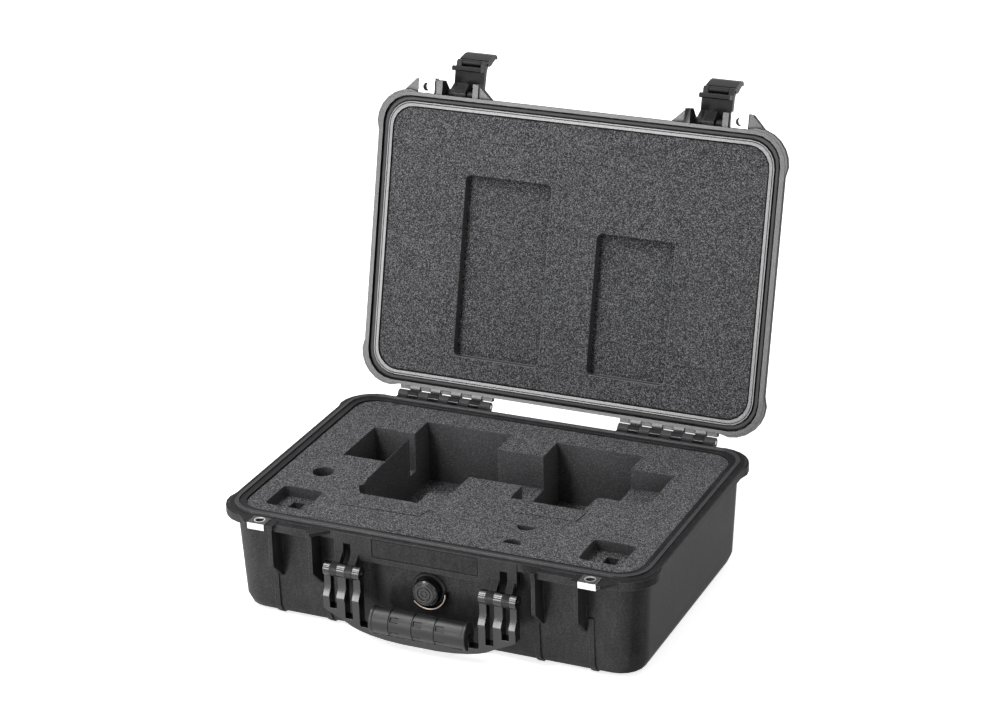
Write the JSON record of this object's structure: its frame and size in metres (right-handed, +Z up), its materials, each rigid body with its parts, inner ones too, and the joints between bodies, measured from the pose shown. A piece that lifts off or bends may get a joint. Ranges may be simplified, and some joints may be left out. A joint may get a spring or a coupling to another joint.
{
  "type": "drone carrying case",
  "caption": "Hard moulded carrying case for a small drone, lid open on its hinges, with cut foam, thrown-open latches, a fold-down handle and a pressure vent.",
  "frame": {"origin": "middle of the base's underside, on the bare flat panel that it stands on", "axes": "+X to the right as seen from the front, +Y to the back where the hinges are, +Z up"},
  "size_m": [0.4632, 0.5043, 0.4604],
  "materials": {
    "shell": "fine moulded texture",
    "satin": "satin",
    "foam": "open-cell foam",
    "rubber": "satin",
    "steel": "brushed",
    "pin": "drawn"
  },
  "bodies": {
    "base": {"base_shell": "shell", "base_foam": "foam", "base_foam_pad": "foam", "name_plate": "satin", "hinge_pin_left": "pin", "hinge_pin_right": "pin", "handle_pin_left": "pin", "handle_pin_right": "pin", "base_lock_plate_left": "steel", "base_lock_plate_right": "steel", "vent_body": "satin", "vent_cap": "satin", "vent_seal": "rubber", "vent_nut": "satin"},
    "lid": {"lid_shell": "shell", "lid_seal": "rubber", "lid_foam": "foam", "lid_lock_plate_left": "steel", "lid_lock_plate_right": "steel", "latch_pin_left": "pin", "latch_pin_right": "pin"},
    "latch_left": {"latch_arm_left": "satin", "lever_pin_left": "pin"},
    "latch_right": {"latch_arm_right": "satin", "lever_pin_right": "pin"},
    "lever_left": {"latch_lever_left": "satin"},
    "lever_right": {"latch_lever_right": "satin"},
    "handle": {"handle_frame": "satin", "handle_grip": "rubber"}
  },
  "joints": [
    {"name": "lid_hinge", "type": "hinge", "parent": "base", "child": "lid", "pos_m": [0, 0.1685, 0.1137], "axis": [1, 0, 0], "range_deg": [0, 103.8]},
    {"name": "latch_hinge_left", "type": "hinge", "parent": "lid", "child": "latch_left", "pos_m": [-0.14, 0.26254, 0.42825], "axis": [1, 0, 0], "range_deg": [0, 90]},
    {"name": "latch_hinge_right", "type": "hinge", "parent": "lid", "child": "latch_right", "pos_m": [0.14, 0.26254, 0.42825], "axis": [1, 0, 0], "range_deg": [0, 90]},
    {"name": "lever_hinge_left", "type": "hinge", "parent": "latch_left", "child": "lever_left", "pos_m": [-0.14, 0.29072, 0.4549], "axis": [1, 0, 0], "range_deg": [0, 66.8]},
    {"name": "lever_hinge_right", "type": "hinge", "parent": "latch_right", "child": "lever_right", "pos_m": [0.14, 0.29072, 0.4549], "axis": [1, 0, 0], "range_deg": [0, 66.8]},
    {"name": "handle_hinge", "type": "hinge", "parent": "base", "child": "handle", "pos_m": [0, -0.1695, 0.078], "axis": [-1, 0, 0], "range_deg": [0, 95]}
  ]
}
